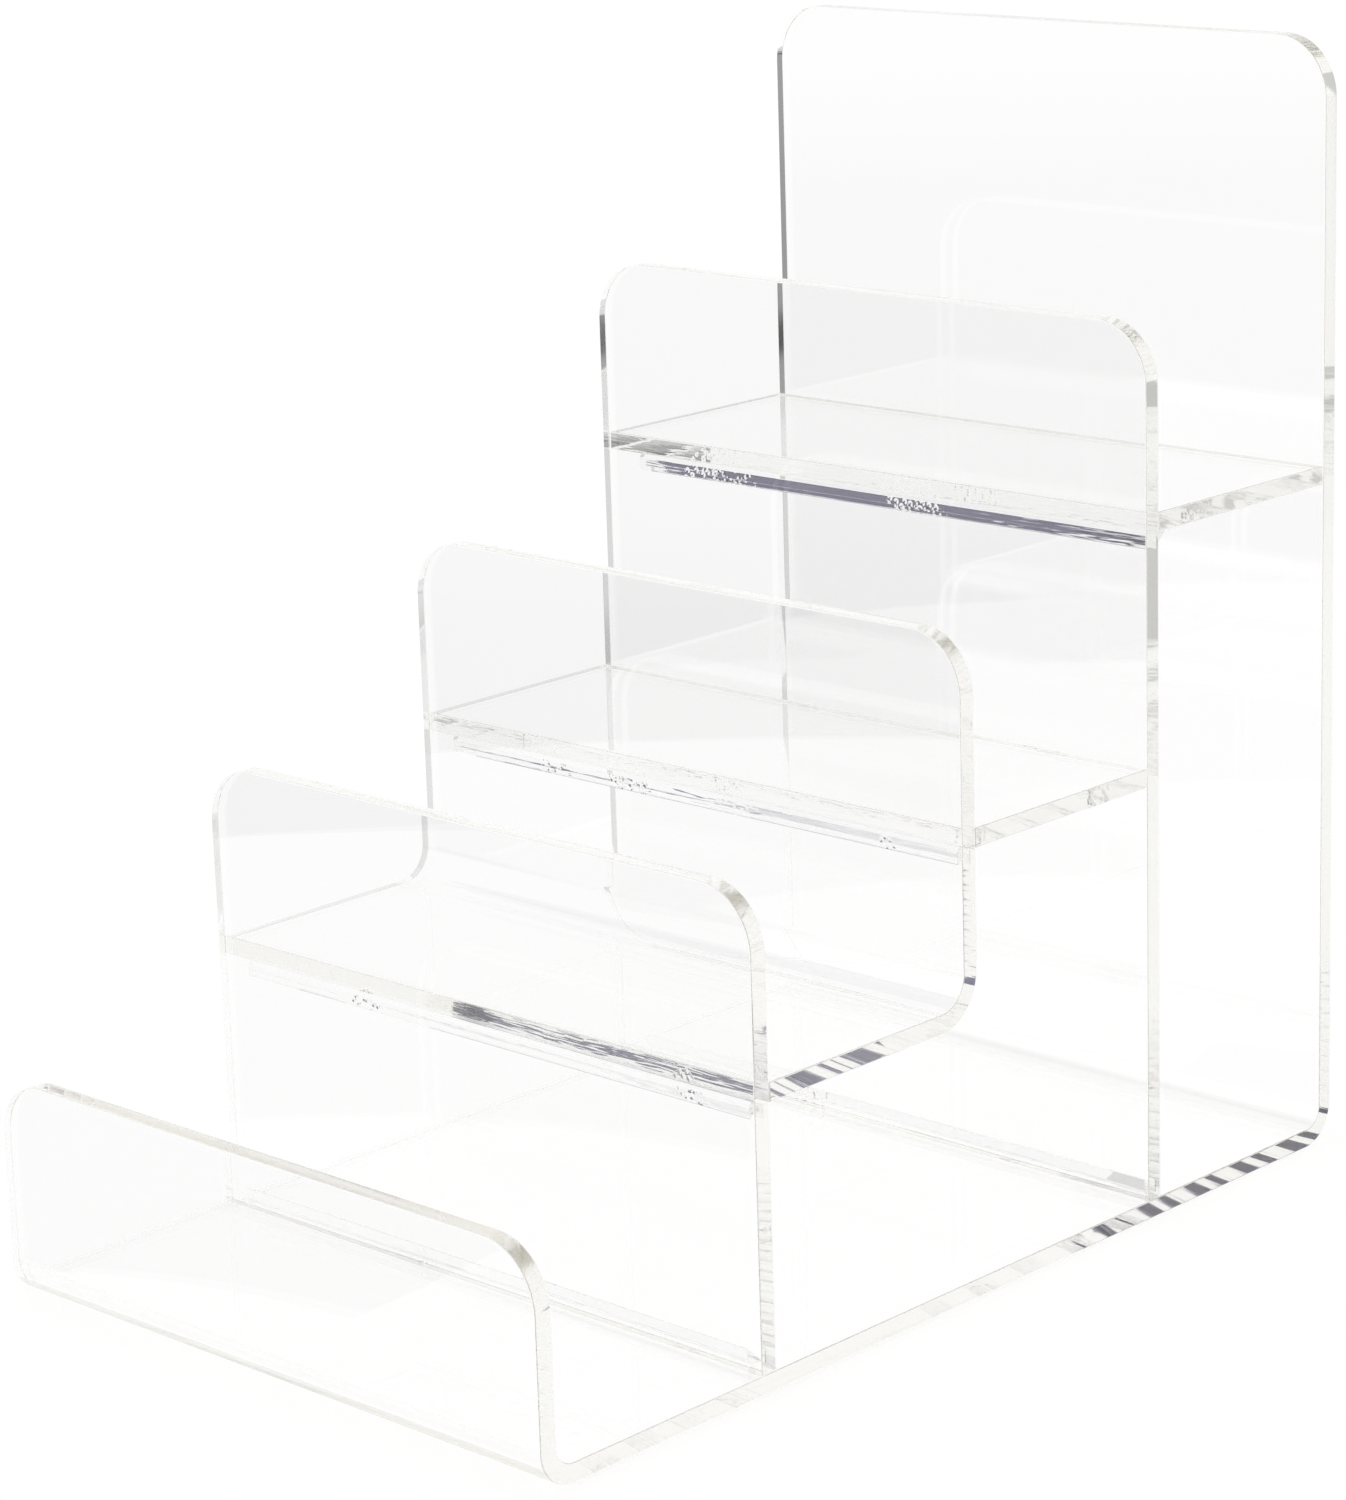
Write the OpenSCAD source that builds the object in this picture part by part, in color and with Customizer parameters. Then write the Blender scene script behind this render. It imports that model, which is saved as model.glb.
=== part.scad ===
/* [Sheet] */
// Thickness of the acrylic sheet that every piece is cut from
sheet_t = 3.2; // [2.4:0.2:4]
// Width of the stand from end to end
stand_w = 120; // [90:1:200]
// Radius of the two rounded top corners of each standing panel
corner_r = 10; // [5:0.5:14]
// Inner radius of the heated bend between the base and the front lip
lip_bend_r = 3.5; // [2:0.5:7]
// Inner radius of the heated bend between the base and the back panel
back_bend_r = 3.5; // [3:0.5:9]
// Inner radius of the heated bend between the second shelf and the third riser
step_bend_r = 5.5; // [3:0.5:7]

/* [Tier depths] */
// Clear depth of the lowest tier, lip to second riser
tier_1_depth = 43.5; // [30:1:60]
// Clear depth of the second tier, second to third riser
tier_2_depth = 45; // [30:1:60]
// Clear depth of the third tier, third to fourth riser
tier_3_depth = 43; // [30:1:60]
// Clear depth of the top tier, fourth riser to back panel
tier_4_depth = 44.5; // [30:1:60]

/* [Heights above the table] */
// Top edge of the front lip
lip_top = 37.5; // [25:0.5:45]
// Upper face of the second tier's shelf
shelf_2_top = 49; // [40:0.5:60]
// Top edge of the second riser
riser_2_top = 79; // [70:0.5:95]
// Upper face of the third tier's shelf
shelf_3_top = 77; // [70:0.5:85]
// Top edge of the third riser
riser_3_top = 108; // [98:0.5:120]
// Upper face of the top tier's shelf
shelf_4_top = 118.5; // [100:0.5:130]
// Top edge of the fourth riser
riser_4_top = 149; // [140:0.5:165]
// Top edge of the back panel
back_top = 189; // [170:1:230]

/* [Corner strips] */
// Legs of the triangular strips bonded into the corners behind the risers
strip_leg = 3; // [2:0.5:4]
// How far the strips' square edge is cut back, so that they seat past the weld in the corner
strip_blunt = 0.6; // [0.2:0.1:1]
// How much shorter the strips are than the panels
strip_short = 8; // [2:0.5:20]
// Share of that shortness left free at the strips' right ends, front to back and bottom to top
strip_right_shares = [0.55, 0.33, 0.3, 0.28, 0.1];

/* [Hidden] */
$fn = 96;
strip_len = stand_w - strip_short;
panel_count = 5;
stand_d = tier_1_depth + tier_2_depth + tier_3_depth + tier_4_depth + panel_count * sheet_t;
// Front faces of the panels, counted back from the lip
lip_y = -stand_d / 2;
riser_2_y = lip_y + sheet_t + tier_1_depth;
riser_3_y = riser_2_y + sheet_t + tier_2_depth;
riser_4_y = riser_3_y + sheet_t + tier_3_depth;
back_y = riser_4_y + sheet_t + tier_4_depth;
base_top = sheet_t;
// How far a trimming shape runs past what it trims
overrun = sheet_t;

// A standing slab with rounded top corners, its front face at Y zero
module slab(depth, height) {
    translate([-stand_w / 2, 0, 0]) cube([stand_w, depth, height - corner_r]);
    translate([corner_r - stand_w / 2, 0, 0]) cube([stand_w - 2 * corner_r, depth, height]);
    for (side = [-1, 1])
        translate([side * (stand_w / 2 - corner_r), 0, height - corner_r])
            rotate([-90, 0, 0]) cylinder(h = depth, r = corner_r);
}

// A standing panel of sheet thickness
module upright(height) {
    slab(sheet_t, height);
}

// A level sheet with its front edge at Y zero
module level(depth) {
    translate([-stand_w / 2, 0, 0]) cube([stand_w, depth, sheet_t]);
}

// Side outline of a space whose lower rear corner is rounded
module hollow(depth, height, rear_r) {
    square([depth - rear_r, height]);
    translate([0, rear_r]) square([depth, height - rear_r]);
    translate([depth - rear_r, rear_r]) circle(rear_r);
}

// Side outline of a space whose lower front and rear corners are rounded
module trough(depth, height, front_r, rear_r) {
    intersection() {
        hollow(depth, height, rear_r);
        translate([depth, 0]) mirror([1, 0]) hollow(depth, height, front_r);
    }
}

// Sweeps a side outline along the width, past both ends
module sweep_width() {
    translate([-stand_w / 2 - overrun, 0, 0]) rotate([90, 0, 90])
        linear_extrude(height = stand_w + 2 * overrun) children();
}

// A triangular strip along the corner at Y and Z zero
module strip(right_share) {
    translate([stand_w / 2 - strip_short * right_share - strip_len, 0, 0]) rotate([90, 0, 90])
        linear_extrude(height = strip_len)
            polygon([[strip_blunt, 0], [strip_leg, 0], [0, strip_leg], [0, strip_blunt]]);
}

// The same strip upside down, under a shelf
module hung_strip(right_share) mirror([0, 0, 1]) strip(right_share);

// Front lip, base and back panel, bent from one sheet
module main_sheet() color("lightcyan") intersection() {
    translate([0, lip_y, 0]) sweep_width() difference() {
        trough(stand_d, back_top + overrun, lip_bend_r + sheet_t, back_bend_r + sheet_t);
        translate([sheet_t, sheet_t])
            trough(stand_d - 2 * sheet_t, back_top + overrun, lip_bend_r, back_bend_r);
    }
    union() {
        translate([0, lip_y - overrun, -overrun])
            slab(riser_3_y - lip_y + overrun, lip_top + overrun);
        translate([0, riser_2_y, -overrun])
            slab(back_y + sheet_t - riser_2_y + overrun, back_top + overrun);
    }
}

// Flat panel between the first and the second tier, standing on the base
module riser_2() color("powderblue")
    translate([0, riser_2_y, base_top]) upright(riser_2_top - base_top);

// Second tier's shelf and third riser, bent from one sheet
module step_sheet() color("lightblue") intersection() {
    translate([0, riser_2_y, shelf_2_top - sheet_t]) sweep_width() difference() {
        hollow(riser_3_y + sheet_t - riser_2_y, riser_3_top, step_bend_r + sheet_t);
        translate([-overrun, sheet_t])
            hollow(riser_3_y - riser_2_y + overrun, riser_3_top, step_bend_r);
    }
    translate([0, riser_2_y + sheet_t, shelf_2_top - sheet_t - overrun])
        slab(riser_3_y - riser_2_y + overrun, riser_3_top - shelf_2_top + sheet_t + overrun);
}

// Third tier's shelf, flat between the third and the fourth riser
module shelf_3() color("paleturquoise")
    translate([0, riser_3_y + sheet_t, shelf_3_top - sheet_t]) level(tier_3_depth);

// Flat panel between the third and the top tier, standing on the base
module riser_4() color("skyblue")
    translate([0, riser_4_y, base_top]) upright(riser_4_top - base_top);

// Top tier's shelf, flat between the fourth riser and the back panel
module shelf_4() color("aquamarine")
    translate([0, riser_4_y + sheet_t, shelf_4_top - sheet_t]) level(tier_4_depth);

// Strip on the base behind the second riser
module foot_strip_2() color("steelblue")
    translate([0, riser_2_y + sheet_t, base_top]) strip(strip_right_shares[0]);

// Strip under the second tier's shelf behind the second riser
module shelf_strip_2() color("cadetblue")
    translate([0, riser_2_y + sheet_t, shelf_2_top - sheet_t])
        hung_strip(strip_right_shares[1]);

// Strip under the third tier's shelf behind the third riser
module shelf_strip_3() color("slateblue")
    translate([0, riser_3_y + sheet_t, shelf_3_top - sheet_t])
        hung_strip(strip_right_shares[2]);

// Strip on the base behind the fourth riser
module foot_strip_4() color("royalblue")
    translate([0, riser_4_y + sheet_t, base_top]) strip(strip_right_shares[3]);

// Strip under the top shelf behind the fourth riser
module shelf_strip_4() color("dodgerblue")
    translate([0, riser_4_y + sheet_t, shelf_4_top - sheet_t])
        hung_strip(strip_right_shares[4]);

main_sheet();
riser_2();
step_sheet();
shelf_3();
riser_4();
shelf_4();
foot_strip_2();
shelf_strip_2();
shelf_strip_3();
foot_strip_4();
shelf_strip_4();
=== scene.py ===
from math import cos, pi, radians, sin, tan

import bmesh
import bpy
from mathutils import Matrix, Vector


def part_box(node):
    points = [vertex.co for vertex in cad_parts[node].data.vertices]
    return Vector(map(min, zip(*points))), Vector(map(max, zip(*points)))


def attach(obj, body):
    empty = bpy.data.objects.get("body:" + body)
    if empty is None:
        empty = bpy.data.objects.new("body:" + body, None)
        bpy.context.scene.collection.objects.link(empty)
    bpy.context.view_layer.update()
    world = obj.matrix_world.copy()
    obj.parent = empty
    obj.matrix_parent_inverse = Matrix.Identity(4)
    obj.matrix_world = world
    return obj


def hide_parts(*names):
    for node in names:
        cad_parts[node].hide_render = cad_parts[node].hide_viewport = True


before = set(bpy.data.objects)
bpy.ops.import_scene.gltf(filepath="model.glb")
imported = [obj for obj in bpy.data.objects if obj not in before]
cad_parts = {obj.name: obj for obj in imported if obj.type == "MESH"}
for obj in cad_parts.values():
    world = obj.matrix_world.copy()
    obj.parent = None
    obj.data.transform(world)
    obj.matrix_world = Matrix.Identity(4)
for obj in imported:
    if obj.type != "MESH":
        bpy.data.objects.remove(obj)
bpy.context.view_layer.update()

# The main sheet is the front lip, the base and the back panel in one strip of clear cast acrylic
# (PMMA). It is cut by laser, flame polished on its edges and folded over a hot wire in two places.
# The other panels are welded to it with solvent, and the whole stand rests on it.

# Sizes are in millimetres, other than where a comment says metres
MM = 0.001
SHEET_T = 3.2
STAND_W = 120.0
LIP_H = 37.5
LIP_BEND_R = 3.5
BACK_BEND_R = 3.5
# The two rounded top corners of every standing panel
CORNER_R = 10.0
# The flame melts about a fifth of a millimetre off each sharp edge of a cut
POLISH_R = 0.22


def linear(hex_colour):
    """An sRGB colour written as hex, as the linear values that shaders take."""
    parts = [int(hex_colour[i:i + 2], 16) / 255 for i in (1, 3, 5)]
    return [p / 12.92 if p <= 0.04045 else ((p + 0.055) / 1.055) ** 2.4 for p in parts] + [1.0]


def add(tree, kind, settings=None, inputs=None, links=None):
    """Adds one node. Settings are its own properties, inputs its sockets' values, links what feeds them."""
    node = tree.nodes.new(kind)
    for key, value in (settings or {}).items():
        setattr(node, key, value)
    for key, value in (inputs or {}).items():
        node.inputs[key].default_value = value
    for key, socket in (links or {}).items():
        tree.links.new(socket, node.inputs[key])
    return node


def per_metre(size):
    """A texture's scale for features of this size in millimetres."""
    return 1 / (size * MM)


def empty_material(name):
    """A new material with no nodes yet."""
    material = bpy.data.materials.new(name)
    material.use_nodes = True
    material.node_tree.nodes.clear()
    return material


# Cast acrylic is clear and colourless face on. Looked at along the sheet it is a warm grey, because
# that light has come through centimetres of it. Welded faces show streaks and small bubbles.
CLEAR = "#FFFFFF"
# The tint of light that has come far through it. A metre swallows about a third, and more of the blue
FAR_TINT = "#CFC8A4"
ACRYLIC_IOR = 1.49
# Roughness that is left on a polished cut edge. The big faces, as cast, have none
EDGE_ROUGHNESS = 0.04
# Solvent runs along a joint in streaks. These are a streak's length and width
STREAK_LENGTH = 6.25
STREAK_WIDTH = 0.625
# The air that it catches makes groups of bubbles. These are the bubbles' spacing, a group's length
# and how far the groups are moved along the joint
BUBBLE_SPACING = 1.333
BUBBLE_GROUP = 14.3
GROUP_SHIFT = 5.0
# How far from its middle a bubble is flat and where it ends, as shares of the spacing
BUBBLE_TOP = 0.1
BUBBLE_FOOT = 0.4
# Where the groups' noise is under the first value there are no bubbles, and over the second they
# have their full height
GROUP_EDGE = 0.7
GROUP_FULL = 0.74
# Height of the bubbles, and the streaks' share of it
WELD_RELIEF = 0.15
STREAK_SHARE = 0.12
# How strongly each finer layer of the streaks' noise counts
STREAK_FINENESS = 0.6

acrylic = empty_material("clear_cast_acrylic")
tree = acrylic.node_tree
edge = add(tree, "ShaderNodeAttribute", {"attribute_name": "cut_edge"})
weld = add(tree, "ShaderNodeAttribute", {"attribute_name": "weld"})
# Welded faces either lie flat or stand, so depth and height together run across a joint
place = add(tree, "ShaderNodeTexCoord")
xyz = add(tree, "ShaderNodeSeparateXYZ", None, None, {"Vector": place.outputs["Object"]})
across = add(
    tree, "ShaderNodeMath", {"operation": "ADD"}, None,
    {0: xyz.outputs["Y"], 1: xyz.outputs["Z"]},
)
joint = add(
    tree, "ShaderNodeCombineXYZ", None, None,
    {"X": xyz.outputs["X"], "Y": across.outputs[0]},
)
stretch = add(
    tree, "ShaderNodeMapping", None,
    {"Scale": (per_metre(STREAK_LENGTH), per_metre(STREAK_WIDTH), 1.0)}, {"Vector": joint.outputs[0]},
)
streaks = add(
    tree, "ShaderNodeTexNoise", {"noise_dimensions": "2D"},
    {"Scale": 1.0, "Detail": 1.0, "Roughness": STREAK_FINENESS}, {"Vector": stretch.outputs[0]},
)
cells = add(
    tree, "ShaderNodeTexVoronoi", {"voronoi_dimensions": "2D"},
    {"Scale": per_metre(BUBBLE_SPACING)}, {"Vector": joint.outputs[0]},
)
domes = add(
    tree, "ShaderNodeMapRange", None,
    {"From Min": BUBBLE_TOP, "From Max": BUBBLE_FOOT, "To Min": 1.0, "To Max": 0.0},
    {"Value": cells.outputs["Distance"]},
)
shift = add(
    tree, "ShaderNodeMapping", None,
    {"Location": (GROUP_SHIFT * MM, 0.0, 0.0)}, {"Vector": joint.outputs[0]},
)
groups = add(
    tree, "ShaderNodeTexNoise", {"noise_dimensions": "2D"},
    {"Scale": per_metre(BUBBLE_GROUP), "Detail": 0.0}, {"Vector": shift.outputs[0]},
)
inside = add(
    tree, "ShaderNodeMapRange", None,
    {"From Min": GROUP_EDGE, "From Max": GROUP_FULL}, {"Value": groups.outputs["Fac"]},
)
bubbles = add(
    tree, "ShaderNodeMath", {"operation": "MULTIPLY"}, None,
    {0: domes.outputs["Result"], 1: inside.outputs["Result"]},
)
film = add(
    tree, "ShaderNodeMath", {"operation": "MULTIPLY_ADD"},
    {1: STREAK_SHARE}, {0: streaks.outputs["Fac"], 2: bubbles.outputs[0]},
)
relief = add(
    tree, "ShaderNodeBump", None,
    {"Distance": WELD_RELIEF * MM}, {"Strength": weld.outputs["Fac"], "Height": film.outputs[0]},
)
rough = add(
    tree, "ShaderNodeMath", {"operation": "MULTIPLY"},
    {1: EDGE_ROUGHNESS}, {0: edge.outputs["Fac"]},
)
shader = add(
    tree, "ShaderNodeBsdfPrincipled", None,
    {"Base Color": linear(CLEAR), "IOR": ACRYLIC_IOR, "Transmission Weight": 1.0},
    {"Roughness": rough.outputs[0], "Normal": relief.outputs["Normal"]},
)
body = add(
    tree, "ShaderNodeVolumeAbsorption", None,
    {"Color": linear(FAR_TINT), "Density": 1.0},
)
add(
    tree, "ShaderNodeOutputMaterial", None, None,
    {"Surface": shader.outputs["BSDF"], "Volume": body.outputs["Volume"]},
)


def outline(length, start_r, end_r, between=()):
    """Down one side of a cut sheet with rounded corners, for any inset: (along, half width) at each step.

    Between are the places along it where the sheet is cut across as well.
    """
    half_w = STAND_W / 2
    arc_steps = 24
    turns = [k * pi / 2 / arc_steps for k in range(arc_steps + 1)]

    def stations_at(inset):
        near_r = start_r - inset
        far_r = end_r - inset
        rows = [(start_r - near_r * cos(a), half_w - start_r + near_r * sin(a)) for a in turns]
        rows += [(along, half_w - inset) for along in between]
        for a in reversed(turns):
            rows.append((length - end_r + far_r * cos(a), half_w - end_r + far_r * sin(a)))
        return rows

    return stations_at


def arc_cuts(start, length):
    """Where a bend is cut into short flats, so that it looks round."""
    steps = 32
    return [start + length * k / steps for k in range(steps + 1)]


def new_piece(name, mesh):
    """A mesh as an object in the scene."""
    piece = bpy.data.objects.new(name, mesh)
    bpy.context.scene.collection.objects.link(piece)
    return piece


def face_values(mesh, name, values):
    """Writes one number per face, for the material to read."""
    mesh.attributes.new(name, "FLOAT", "FACE").data.foreach_set("value", values)


def sheet_piece(name, stations_at, fold, welded=(False, False)):
    """A piece of sheet as a closed mesh, softly rounded all along its edges.

    stations_at(inset) lists (along, half width) down its cut outline, fold maps (across, along, depth)
    to millimetres, and welded says of its first and its last edge whether another piece is bonded there.
    """
    round_steps = 3
    turns = [k * pi / 2 / round_steps for k in range(round_steps + 1)]
    levels = [(POLISH_R - POLISH_R * cos(a), POLISH_R - POLISH_R * sin(a)) for a in turns]
    levels += [(SHEET_T - depth, inset) for depth, inset in reversed(levels)]
    bm = bmesh.new()
    rings = []
    for depth, inset in levels:
        stations = stations_at(inset)
        rings.append([
            [bm.verts.new(Vector(fold(side * half_w, along, depth)) * MM) for along, half_w in stations]
            for side in (-1, 1)
        ])
    gaps = range(len(stations) - 1)
    for lower, upper in zip(rings, rings[1:]):
        for side in (0, 1):
            for i in gaps:
                bm.faces.new((lower[side][i], lower[side][i + 1], upper[side][i + 1], upper[side][i]))
        for i in (0, -1):
            bm.faces.new((lower[0][i], lower[1][i], upper[1][i], upper[0][i]))
    for left, right in (rings[0], rings[-1]):
        for i in gaps:
            bm.faces.new((left[i], left[i + 1], right[i + 1], right[i]))
    bmesh.ops.recalc_face_normals(bm, faces=bm.faces)
    # Each level has its two sides' faces and then its two ends'. The sheet's two big faces come last
    sides = [0.0] * (2 * len(gaps))
    ends = [float(end) for end in welded]
    cut_edge = [1.0] * (len(bm.faces) - len(sides)) + sides
    mesh = bpy.data.meshes.new(name)
    bm.to_mesh(mesh)
    bm.free()
    face_values(mesh, "cut_edge", cut_edge)
    face_values(mesh, "weld", (sides + ends) * (len(rings) - 1) + sides)
    mesh.shade_smooth()
    piece = new_piece(name, mesh)
    # The rounding shades round, and the faces between stay flat
    flat = piece.modifiers.new("flat_faces", "WEIGHTED_NORMAL")
    flat.mode = "FACE_AREA"
    flat.weight = 100
    return piece


def node_box(node):
    """A node's lowest and highest corners, in millimetres."""
    return [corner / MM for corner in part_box(node)]


low, high = node_box("main_sheet")
# Outer radii of the bends, and the flat strip's lengths along its outer face
lip_r = LIP_BEND_R + SHEET_T
back_r = BACK_BEND_R + SHEET_T
lip_run = LIP_H - lip_r
lip_arc = lip_r * pi / 2
base_run = high.y - low.y - lip_r - back_r
back_arc = back_r * pi / 2
back_run = high.z - back_r
base_start = lip_run + lip_arc
back_start = base_start + base_run + back_arc


def fold_main(across, along, depth):
    """Folds the strip round its two bends. Depth counts in from the outer face."""
    if along <= lip_run:
        return across, low.y + depth, LIP_H - along
    if along <= base_start:
        a = (along - lip_run) / lip_r
        return across, low.y + lip_r - (lip_r - depth) * cos(a), lip_r - (lip_r - depth) * sin(a)
    if along <= base_start + base_run:
        return across, low.y + lip_r + along - base_start, depth
    if along <= back_start:
        a = (along - base_start - base_run) / back_r
        return across, high.y - back_r + (back_r - depth) * sin(a), back_r - (back_r - depth) * cos(a)
    return across, high.y - depth, back_r + along - back_start


bends = arc_cuts(lip_run, lip_arc) + arc_cuts(base_start + base_run, back_arc)
main_sheet = sheet_piece(
    "main_sheet_clear", outline(back_start + back_run, CORNER_R, CORNER_R, bends), fold_main,
)
main_sheet.data.materials.append(acrylic)
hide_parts("main_sheet")
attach(main_sheet, "root")

# The second and the fourth riser are flat panels of the same sheet, cut by laser with two rounded
# corners. They stand on the base, and solvent welds their lower edge to it. The shelves are welded
# to their faces.

# Corners that are cut square are only eased
SQUARE_R = 0.35
# A welded piece runs this far into its neighbour, so that no film of air is left between them
BOND = 0.04

for node in ("riser_2", "riser_4"):
    low, high = node_box(node)

    def stand_up(across, along, depth):
        """Stands the sheet up, its outline running down from the top. Depth counts back from the front."""
        return across, low.y + depth, high.z - along

    riser = sheet_piece(
        node + "_clear", outline(high.z - low.z + BOND, CORNER_R, SQUARE_R), stand_up, (False, True),
    )
    riser.data.materials.append(acrylic)
    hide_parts(node)
    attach(riser, "root")

# The step sheet is the second tier's shelf and the third riser in one piece of the sheet, folded
# over a hot wire with a rounder bend. Its front edge is welded to the rear face of the second riser.
STEP_BEND_R = 5.5

low, high = node_box("step_sheet")
step_r = STEP_BEND_R + SHEET_T
step_run = high.y - low.y - step_r + BOND
step_arc = step_r * pi / 2
step_rise = high.z - low.z - step_r


def fold_step(across, along, depth):
    """Folds the strip up at the back. Depth counts in from the outer face."""
    if along <= step_run:
        return across, low.y - BOND + along, low.z + depth
    if along <= step_run + step_arc:
        a = (along - step_run) / step_r
        y = high.y - step_r + (step_r - depth) * sin(a)
        return across, y, low.z + step_r - (step_r - depth) * cos(a)
    return across, high.y - depth, low.z + step_r + along - step_run - step_arc


step_sheet = sheet_piece(
    "step_sheet_clear",
    outline(step_run + step_arc + step_rise, SQUARE_R, CORNER_R, arc_cuts(step_run, step_arc)),
    fold_step, (True, False),
)
step_sheet.data.materials.append(acrylic)
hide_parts("step_sheet")
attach(step_sheet, "root")

# The third and the fourth tier's shelves are flat plates of the same sheet with eased edges. Each
# is welded in between two standing panels, along its front and its rear edge.
for node in ("shelf_3", "shelf_4"):
    low, high = node_box(node)

    def lay_flat(across, along, depth):
        """Lays the sheet flat, its outline running back from the front. Depth counts up."""
        return across, low.y - BOND + along, low.z + depth

    shelf = sheet_piece(
        node + "_clear", outline(high.y - low.y + 2 * BOND, SQUARE_R, SQUARE_R), lay_flat, (True, True),
    )
    shelf.data.materials.append(acrylic)
    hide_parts(node)
    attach(shelf, "root")

# The corner strips are thin triangular rods of clear acrylic, welded into the corners behind the
# risers to stiffen the joints. Their square edge is blunt, which leaves a fine tunnel of air along
# the corner, and their slanted face mirrors what is above the stand.
STRIP_BLUNT = 0.6
# Their long edges are only broken with a scraper
SCRAPED_R = 0.12


def rod(name, start, end, corners):
    """A closed rod along X with the (y, z) corners given, welded on the sides that follow two of them."""
    round_steps = 3
    section = []
    for i, corner in enumerate(corners):
        here = Vector(corner)
        before = (Vector(corners[i - 1]) - here).normalized()
        after = (Vector(corners[(i + 1) % len(corners)]) - here).normalized()
        half = before.angle(after) / 2
        middle = here + (before + after).normalized() * SCRAPED_R / sin(half)
        first = here + before * SCRAPED_R / tan(half) - middle
        last = here + after * SCRAPED_R / tan(half) - middle
        for k in range(round_steps + 1):
            section.append(middle + first.lerp(last, k / round_steps).normalized() * SCRAPED_R)
    bm = bmesh.new()
    rings = [[bm.verts.new(Vector((x, y, z)) * MM) for y, z in section] for x in (start, end)]
    for ring in rings:
        bm.faces.new(ring)
    for i in range(len(section)):
        j = (i + 1) % len(section)
        bm.faces.new((rings[0][i], rings[0][j], rings[1][j], rings[1][i]))
    bmesh.ops.recalc_face_normals(bm, faces=bm.faces)
    # The faces are the two ends, and then each corner's round steps and the flat side that follows.
    # The sides after the first and the third corner are the ones that are welded
    welded = [1 + (round_steps + 1) * (corner + 1) for corner in (0, 2)]
    weld = [float(i in welded) for i in range(len(bm.faces))]
    mesh = bpy.data.meshes.new(name)
    bm.to_mesh(mesh)
    bm.free()
    face_values(mesh, "weld", weld)
    return new_piece(name, mesh)


for node in ("foot_strip_2", "shelf_strip_2", "shelf_strip_3", "foot_strip_4", "shelf_strip_4"):
    low, high = node_box(node)
    # The height of the corner that the strip sits in, and which way it reaches from there
    corner_z, up = (low.z, 1) if node.startswith("foot") else (high.z, -1)
    leg = high.z - low.z
    strip = rod(node + "_clear", low.x, high.x, [
        (low.y - BOND, corner_z + up * leg),
        (low.y - BOND, corner_z + up * STRIP_BLUNT),
        (low.y + STRIP_BLUNT, corner_z - up * BOND),
        (low.y + leg, corner_z - up * BOND),
    ])
    strip.data.materials.append(acrylic)
    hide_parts(node)
    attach(strip, "root")

# The stand is shown on a white laminate table top, in white light from all round. Light that runs
# inside the sheet is mirrored dozens of times before it comes out, and needs that many bounces.
WHITE = "#FFFFFF"
INSIDE_BOUNCES = 200
TABLE_BOUNCES = 3
scene = bpy.context.scene
scene.view_settings.view_transform = "Standard"
scene.cycles.max_bounces = INSIDE_BOUNCES
scene.cycles.transmission_bounces = INSIDE_BOUNCES
scene.cycles.glossy_bounces = INSIDE_BOUNCES
scene.cycles.diffuse_bounces = TABLE_BOUNCES
# Blurred glossy paths would lose light behind the acrylic, and the table under it would go grey
scene.cycles.blur_glossy = 0.0

world = bpy.data.worlds.new("white_surround")
scene.world = world
world.use_nodes = True
tree = world.node_tree
tree.nodes.clear()
sky = add(tree, "ShaderNodeBackground", None, {"Color": linear(WHITE), "Strength": 1.0})
add(tree, "ShaderNodeOutputWorld", None, None, {"Surface": sky.outputs["Background"]})

# The table's radius in metres
TABLE_RADIUS = 6.0
TABLE_SEGMENTS = 96
# Just under the stand, so that the two never share a plane
TABLE_DROP = 0.1
LAMINATE_WHITE = "#F7F7F7"
# What the camera and the acrylic see on top of the lit table, to bring its white up to full
TABLE_LIFT = 0.08

bm = bmesh.new()
bmesh.ops.create_circle(bm, cap_ends=True, segments=TABLE_SEGMENTS, radius=TABLE_RADIUS)
mesh = bpy.data.meshes.new("table_top")
bm.to_mesh(mesh)
bm.free()
table = new_piece("table_top", mesh)
table.location.z = -TABLE_DROP * MM
# White laminate is matt and even, a little under full white, so the stand's soft shadow shows on it
laminate = empty_material("white_laminate")
tree = laminate.node_tree
ray = add(tree, "ShaderNodeLightPath")
matt = add(tree, "ShaderNodeBsdfDiffuse", None, {"Color": linear(LAMINATE_WHITE)})
seen = add(
    tree, "ShaderNodeMath", {"operation": "MAXIMUM"}, None,
    {0: ray.outputs["Is Camera Ray"], 1: ray.outputs["Is Glossy Ray"]},
)
seen = add(
    tree, "ShaderNodeMath", {"operation": "MAXIMUM"}, None,
    {0: seen.outputs[0], 1: ray.outputs["Is Transmission Ray"]},
)
lift = add(tree, "ShaderNodeMath", {"operation": "MULTIPLY"}, {1: TABLE_LIFT}, {0: seen.outputs[0]})
glow = add(tree, "ShaderNodeEmission", None, {"Color": linear(WHITE)}, {"Strength": lift.outputs[0]})
both = add(tree, "ShaderNodeAddShader", None, None, {0: matt.outputs[0], 1: glow.outputs[0]})
add(tree, "ShaderNodeOutputMaterial", None, None, {"Surface": both.outputs[0]})
table.data.materials.append(laminate)

# Clear acrylic shows only what it mirrors, so glowing grey cards lie on the table and hang overhead
# as painted reflections, where its faces and the light inside it find them. Nothing else sees them,
# and they throw no shadow.

# In metres, how far the cards' shades reach and how high the upper ones hang
CARD_REACH = 3.0
CARD_HEIGHT = 3.0
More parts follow.
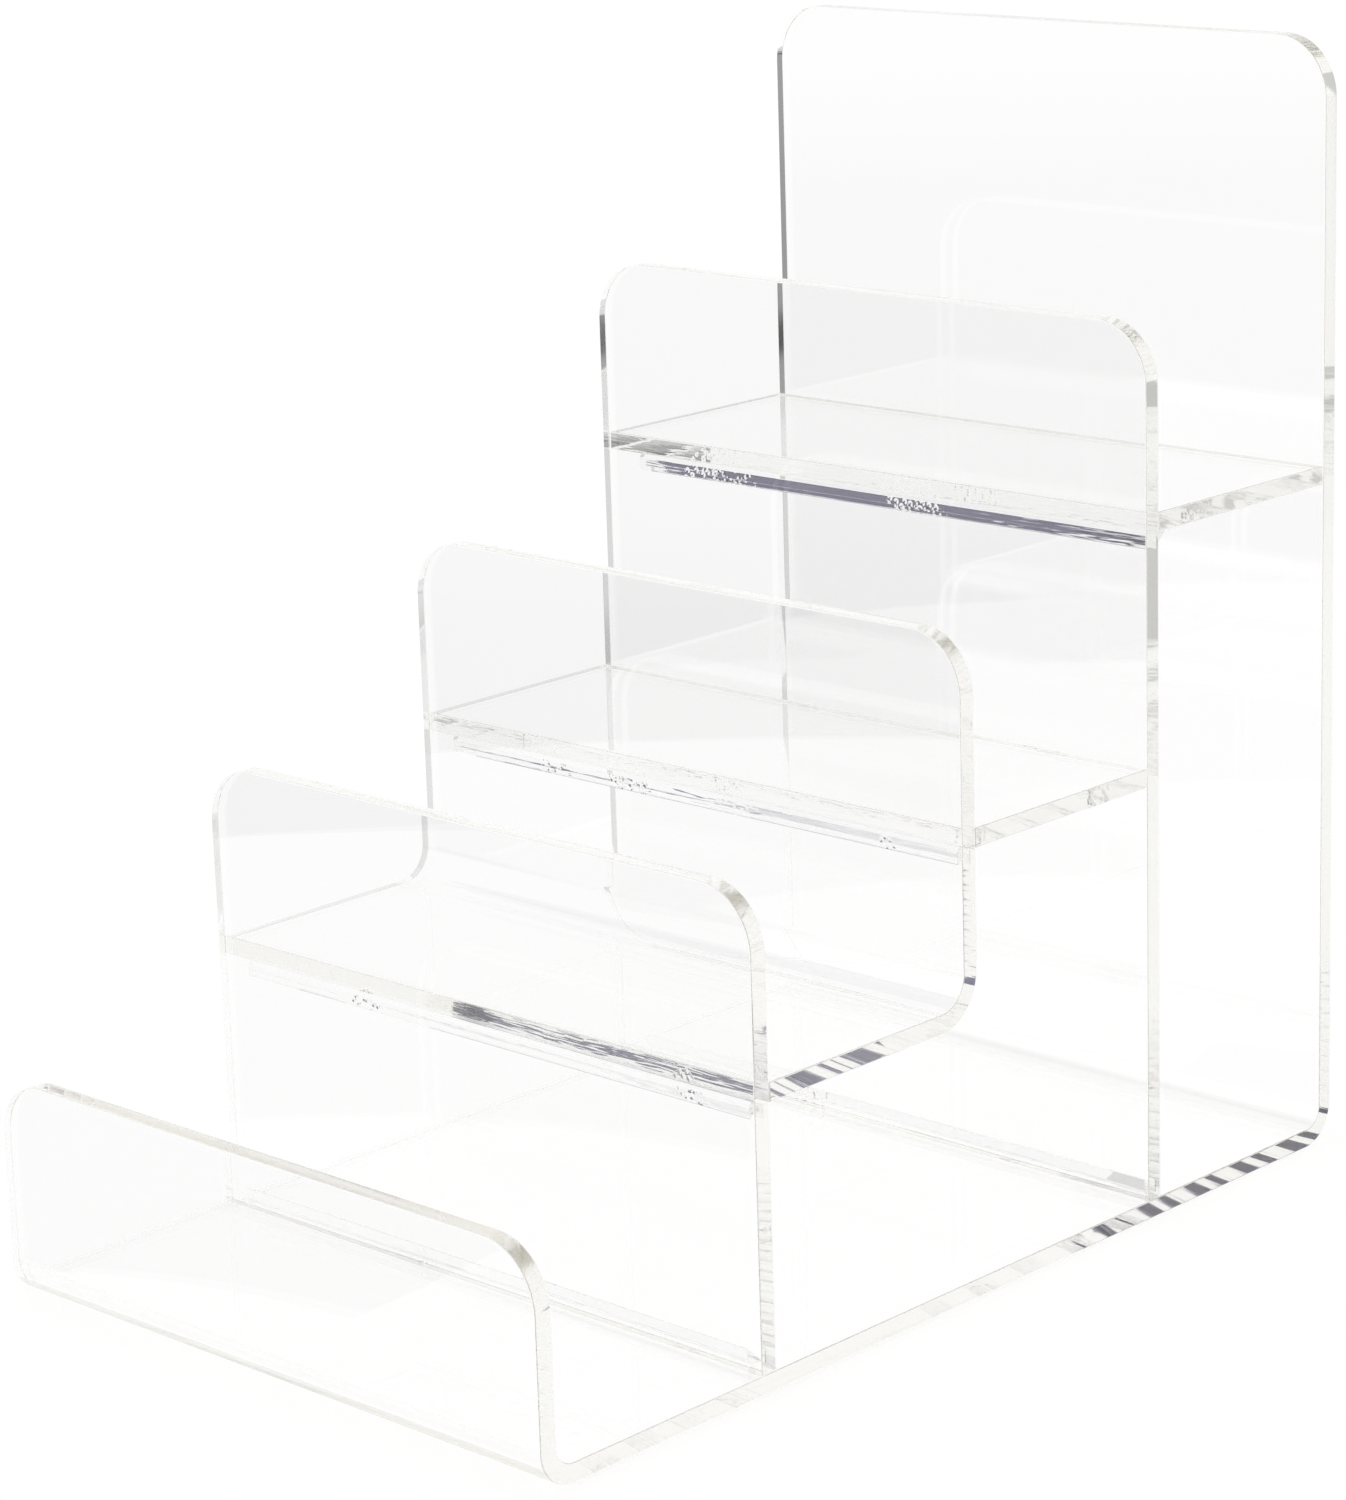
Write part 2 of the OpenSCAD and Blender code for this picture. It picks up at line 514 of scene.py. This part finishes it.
# In metres, how far from the stand's middle the rings start and end that the cards are cut from
NEAR_LEFT_RING = (0.125, 0.31)
NEAR_RIGHT_RING = (0.07, 0.31)
FAR_RING = (0.31, 2.5)
OVERHEAD_RING = (0.001, 2.34)
OVERHEAD_EDGE_RING = (2.34, 2.95)
# In degrees from +X, which stretch of its ring a card takes up
NEAR_LEFT = (190, 265)
NEAR_RIGHT = (30, 75)
FRONT_LEFT = (200, 255)
REAR_RIGHT = (35, 65)
LEFT_HALF = (80, 280)
LEFT = (155, 189)
LEFT_TO_FRONT = (189, 207)
# How deep one card lies under another
CARD_LAYER = 0.03


def painted_reflection_board(name, greys, first=1, last=99):
    """Glowing board, a painted reflection, that only light mirrored first to last times sees.

    Greys are (metres from middle, colour).
    """
    material = empty_material(name)
    tree = material.node_tree
    ray = add(tree, "ShaderNodeLightPath")
    after = add(
        tree, "ShaderNodeMath", {"operation": "GREATER_THAN"},
        {1: first - 0.5}, {0: ray.outputs["Glossy Depth"]},
    )
    before = add(
        tree, "ShaderNodeMath", {"operation": "LESS_THAN"},
        {1: last + 0.5}, {0: ray.outputs["Glossy Depth"]},
    )
    # Light on its way to the table is left out, so that the cards don't tint it
    unspent = add(
        tree, "ShaderNodeMath", {"operation": "SUBTRACT", "use_clamp": True}, None,
        {0: after.outputs[0], 1: ray.outputs["Diffuse Depth"]},
    )
    seen = add(
        tree, "ShaderNodeMath", {"operation": "MULTIPLY"}, None,
        {0: unspent.outputs[0], 1: before.outputs[0]},
    )
    place = add(tree, "ShaderNodeTexCoord")
    away = add(
        tree, "ShaderNodeVectorMath", {"operation": "LENGTH"}, None,
        {0: place.outputs["Object"]},
    )
    share = add(
        tree, "ShaderNodeMath", {"operation": "DIVIDE"},
        {1: CARD_REACH}, {0: away.outputs["Value"]},
    )
    ramp = add(tree, "ShaderNodeValToRGB", None, None, {"Fac": share.outputs[0]})
    shades = ramp.color_ramp.elements
    while len(shades) < len(greys):
        shades.new(1.0)
    for shade, (metres, grey) in zip(shades, greys):
        shade.position = metres / CARD_REACH
        shade.color = linear(grey)
    clear = add(tree, "ShaderNodeBsdfTransparent")
    board = add(tree, "ShaderNodeEmission", None, {"Strength": 1.0}, {"Color": ramp.outputs["Color"]})
    mix = add(
        tree, "ShaderNodeMixShader", None, None,
        {0: seen.outputs[0], 1: clear.outputs[0], 2: board.outputs[0]},
    )
    add(tree, "ShaderNodeOutputMaterial", None, None, {"Surface": mix.outputs[0]})
    return material


def plain(grey):
    """The same grey all over."""
    return [(0.0, grey), (CARD_REACH, grey)]


def card(name, board, ring, stretch, height=0.0):
    """A flat card at a height in metres that takes up one stretch of a ring."""
    steps = 64
    start, stop = stretch
    angles = [radians(start + (stop - start) * k / steps) for k in range(steps + 1)]
    bm = bmesh.new()
    rims = [[bm.verts.new((r * cos(a), r * sin(a), height)) for a in angles] for r in ring]
    for i in range(steps):
        bm.faces.new((rims[0][i], rims[0][i + 1], rims[1][i + 1], rims[1][i]))
    mesh = bpy.data.meshes.new(name)
    bm.to_mesh(mesh)
    bm.free()
    piece = new_piece(name, mesh)
    piece.data.materials.append(board)
    piece.visible_camera = False
    piece.visible_diffuse = False
    piece.visible_shadow = False


# In front on the left, where the panels' front faces mirror the table: a painted reflection, dark near the
# stand
front_reflection_board = painted_reflection_board("front_painted_reflection", [
    (0.31, "#272727"), (0.36, "#383838"), (0.44, "#595959"), (0.49, "#898989"),
    (1.1, "#9C9C9C"), (1.3, "#CBCBCB"), (1.6, "#E7E7E7"),
], 1, 2)
# Under it, a plain grey painted reflection for light that is mirrored three times or more
under_reflection_board = painted_reflection_board("front_painted_reflection_underside", plain("#CBCBCB"), 3)
card("front_painted_reflection_card", front_reflection_board, FAR_RING, FRONT_LEFT)
card("front_painted_reflection_card_under", under_reflection_board, FAR_RING, FRONT_LEFT, -CARD_LAYER * MM)
# Close round the stand the mirrored table gets a little painted shade
painted_shade_board = painted_reflection_board("painted_table_shade", plain("#DADADA"), 1, 1)
card("painted_shade_front_left", painted_shade_board, NEAR_LEFT_RING, NEAR_LEFT, -2 * CARD_LAYER * MM)
card("painted_shade_rear_right", painted_shade_board, NEAR_RIGHT_RING, NEAR_RIGHT, -2 * CARD_LAYER * MM)
# Behind on the right, a painted reflection that the panels' left edges mirror, with one nearly black stripe
rear_reflection_board = painted_reflection_board("rear_painted_reflection", [
    (0.31, "#BCBCBC"), (0.35, "#C4C4C4"), (0.38, "#DADADA"), (0.6, "#D3D3D3"), (0.63, "#A0A0A0"),
    (0.745, "#959595"), (0.76, "#272727"), (0.81, "#383838"), (0.85, "#959595"), (2.5, "#959595"),
], 1, 3)
card("rear_painted_reflection_card", rear_reflection_board, FAR_RING, REAR_RIGHT)
# Overhead on the left, a dark painted reflection which light that has run along the sheet ends on: the cut
# ends' dark blocks
overhead_reflection_board = painted_reflection_board("overhead_painted_reflection", plain("#4A4858"))
card("overhead_painted_reflection_card", overhead_reflection_board, OVERHEAD_RING, LEFT_HALF, CARD_HEIGHT)
# Its left edge is a lighter and bluer painted reflection, and is what the strip under the top shelf mirrors
blue_reflection_board = painted_reflection_board("blue_painted_reflection", plain("#656377"))
pale_reflection_board = painted_reflection_board("pale_blue_painted_reflection", plain("#7C7990"))
card("overhead_blue_painted_reflection_card", blue_reflection_board, OVERHEAD_EDGE_RING, LEFT, CARD_HEIGHT)
card("overhead_pale_painted_reflection_card", pale_reflection_board, OVERHEAD_EDGE_RING, LEFT_TO_FRONT, CARD_HEIGHT)

# The camera looks down a little over the stand's front right corner, from 0.7 m away, with a long
# lens, as in a catalogue picture.
PICTURE_WIDTH_PX = 1346
FOCAL_LENGTH_PX = 4468.92
SENSOR_WIDTH = 36.0
# Its place in metres, and in degrees how far it is turned, tilted down and rolled
CAMERA_PLACE = (0.48442, -0.50489, 0.26757)
CAMERA_TURN = 43.925
CAMERA_TILT = 14.990
CAMERA_ROLL = -1.8193

camera_data = bpy.data.cameras.new("camera")
camera = bpy.data.objects.new("camera", camera_data)
scene.collection.objects.link(camera)
camera_data.sensor_fit = "HORIZONTAL"
camera_data.sensor_width = SENSOR_WIDTH
camera_data.lens = FOCAL_LENGTH_PX / PICTURE_WIDTH_PX * SENSOR_WIDTH
turn = Matrix.Rotation(radians(CAMERA_TURN), 4, "Z")
tilt = Matrix.Rotation(radians(90 - CAMERA_TILT), 4, "X")
roll = Matrix.Rotation(radians(CAMERA_ROLL), 4, "Z")
camera.matrix_world = Matrix.Translation(CAMERA_PLACE) @ turn @ tilt @ roll
scene.camera = camera
